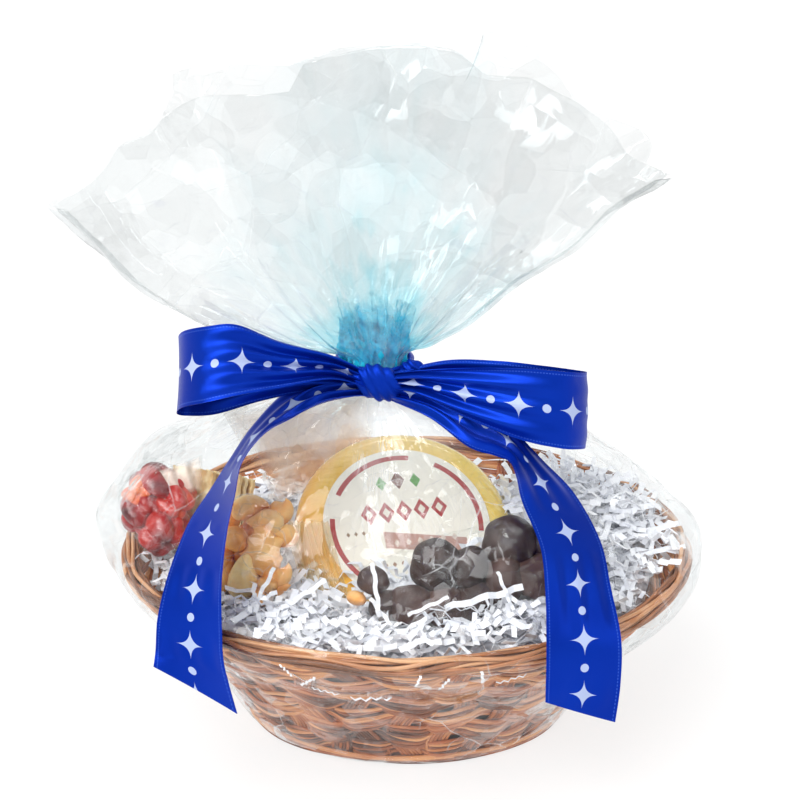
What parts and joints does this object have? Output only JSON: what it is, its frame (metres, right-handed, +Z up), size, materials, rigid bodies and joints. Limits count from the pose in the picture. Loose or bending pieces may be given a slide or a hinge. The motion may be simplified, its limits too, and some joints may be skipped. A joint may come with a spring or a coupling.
{
  "type": "cheese and cracker gift basket",
  "caption": "Oval wicker gift basket with cheese, nuts, dried fruit, chocolates and crackers in crinkled paper, wrapped in clear film and tied with a blue bow.",
  "frame": {"origin": "centre of the flat base of the film, on the surface that the basket stands on", "axes": "+Z up, +X to the right seen from the front, +Y towards the back"},
  "size_m": [0.3216, 0.2583, 0.3613],
  "materials": {
    "cane": "satin cane, stained orange brown",
    "shred": "matte white crinkled paper",
    "cheese": "yellow cheese under tight clear film",
    "label": "cream printed label, satin",
    "chocolate": "dark chocolate in a clear bag",
    "nuts": "roasted nuts in a clear bag",
    "fruit": "sugared red fruit in a clear bag",
    "cracker": "pale baked cracker",
    "film": "clear crinkled film",
    "satin": "blue satin ribbon with silver print"
  },
  "bodies": {
    "root": {"basket": "cane", "paper_shred": "shred", "cheese_wheel": "cheese", "cheese_label": "label", "chocolate_bag": "chocolate", "nut_bag": "nuts", "fruit_bag": "fruit", "cracker_stack": "cracker", "film_wrap": "film", "ribbon_bow": "satin"}
  },
  "joints": []
}
